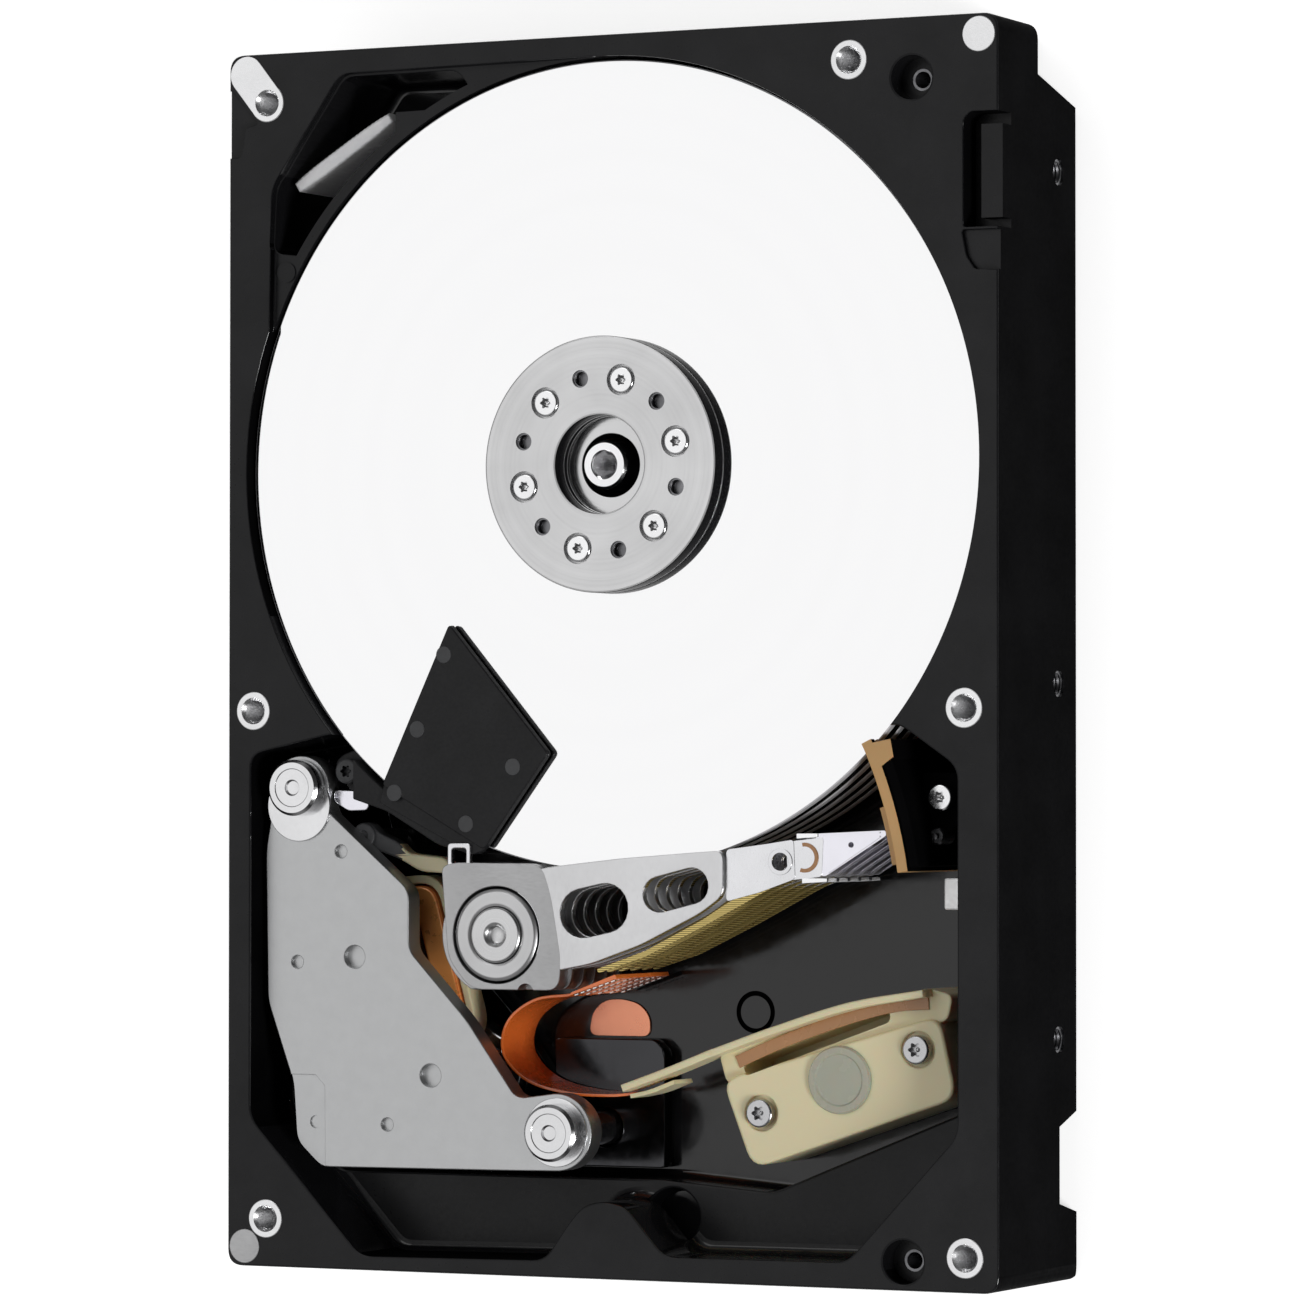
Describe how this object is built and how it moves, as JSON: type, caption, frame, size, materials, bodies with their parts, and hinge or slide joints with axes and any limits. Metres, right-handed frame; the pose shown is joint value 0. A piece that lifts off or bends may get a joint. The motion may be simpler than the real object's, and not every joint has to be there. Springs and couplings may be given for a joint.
{
  "type": "hard disk drive",
  "caption": "Opened 3.5 inch hard disk drive: black cast base holding a stack of mirror platters, a swinging head arm comb, voice-coil magnets, a load ramp and a circuit board.",
  "frame": {"origin": "centre of the bounding box's underside", "axes": "+Z out of the open face, +Y along the length away from the connectors, +X across the width"},
  "size_m": [0.1016, 0.147, 0.0251],
  "materials": {
    "deck_coat": "gloss black e-coat on a die casting",
    "platter_mirror": "mirror polished",
    "satin_aluminium": "satin machined",
    "nickel_steel": "satin nickel plate",
    "bright_steel": "bright plated",
    "magnet_nickel": "bright nickel plate",
    "copper_winding": "enamelled copper wire",
    "amber_film": "polyimide film",
    "tan_plastic": "moulded",
    "cream_plastic": "moulded",
    "black_plastic": "moulded",
    "filter_media": "felted",
    "board_laminate": "green solder mask"
  },
  "bodies": {
    "base": {"base_deck": "deck_coat", "vcm_lower_yoke": "deck_coat", "recirculation_filter": "filter_media", "motor_shaft": "bright_steel", "pivot_shaft": "bright_steel", "vcm_post_upper_left": "bright_steel", "vcm_post_lower_right": "bright_steel", "damper_screw": "bright_steel", "ramp_screw": "bright_steel", "bracket_screw_left": "bright_steel", "bracket_screw_right": "bright_steel", "board_screw_1": "bright_steel", "board_screw_2": "bright_steel", "board_screw_3": "bright_steel", "board_screw_4": "bright_steel", "motor_stator": "copper_winding", "airflow_damper": "black_plastic", "controller_chip": "black_plastic", "motor_driver_chip": "black_plastic", "sata_connector": "black_plastic", "vcm_upper_yoke": "nickel_steel", "upper_magnet": "magnet_nickel", "lower_magnet": "magnet_nickel", "load_ramp": "tan_plastic", "flex_bracket": "cream_plastic", "flex_cable": "amber_film", "circuit_board": "board_laminate"},
    "spindle": {"hub": "satin_aluminium", "platter_1": "platter_mirror", "platter_2": "platter_mirror", "platter_3": "platter_mirror", "platter_4": "platter_mirror", "platter_5": "platter_mirror", "spacer_1": "satin_aluminium", "spacer_2": "satin_aluminium", "spacer_3": "satin_aluminium", "spacer_4": "satin_aluminium", "disk_clamp": "nickel_steel", "clamp_screw_1": "bright_steel", "clamp_screw_2": "bright_steel", "clamp_screw_3": "bright_steel", "clamp_screw_4": "bright_steel", "clamp_screw_5": "bright_steel", "clamp_screw_6": "bright_steel"},
    "actuator": {"arm_comb": "satin_aluminium", "pivot_bearing": "bright_steel", "voice_coil": "copper_winding", "coil_frame": "cream_plastic", "head_flex_board": "amber_film", "suspension_1": "nickel_steel", "suspension_2": "nickel_steel", "suspension_3": "nickel_steel", "suspension_4": "nickel_steel", "suspension_5": "nickel_steel", "suspension_6": "nickel_steel", "suspension_7": "nickel_steel", "suspension_8": "nickel_steel", "suspension_9": "nickel_steel", "suspension_10": "nickel_steel"},
    "latch": {"latch_lever": "cream_plastic"}
  },
  "joints": [
    {"name": "spindle_spin", "type": "hinge", "parent": "base", "child": "spindle", "pos_m": [0, 0.0226, 0], "axis": [0, 0, 1], "continuous": true},
    {"name": "actuator_swing", "type": "hinge", "parent": "base", "child": "actuator", "pos_m": [-0.0141, -0.0331, 0], "axis": [0, 0, 1], "range_deg": [0, 38], "deforming": ["flex_cable"]},
    {"name": "latch_swing", "type": "hinge", "parent": "base", "child": "latch", "pos_m": [-0.0351, -0.0214, 0], "axis": [0, 0, 1], "range_deg": [0, 12]}
  ]
}
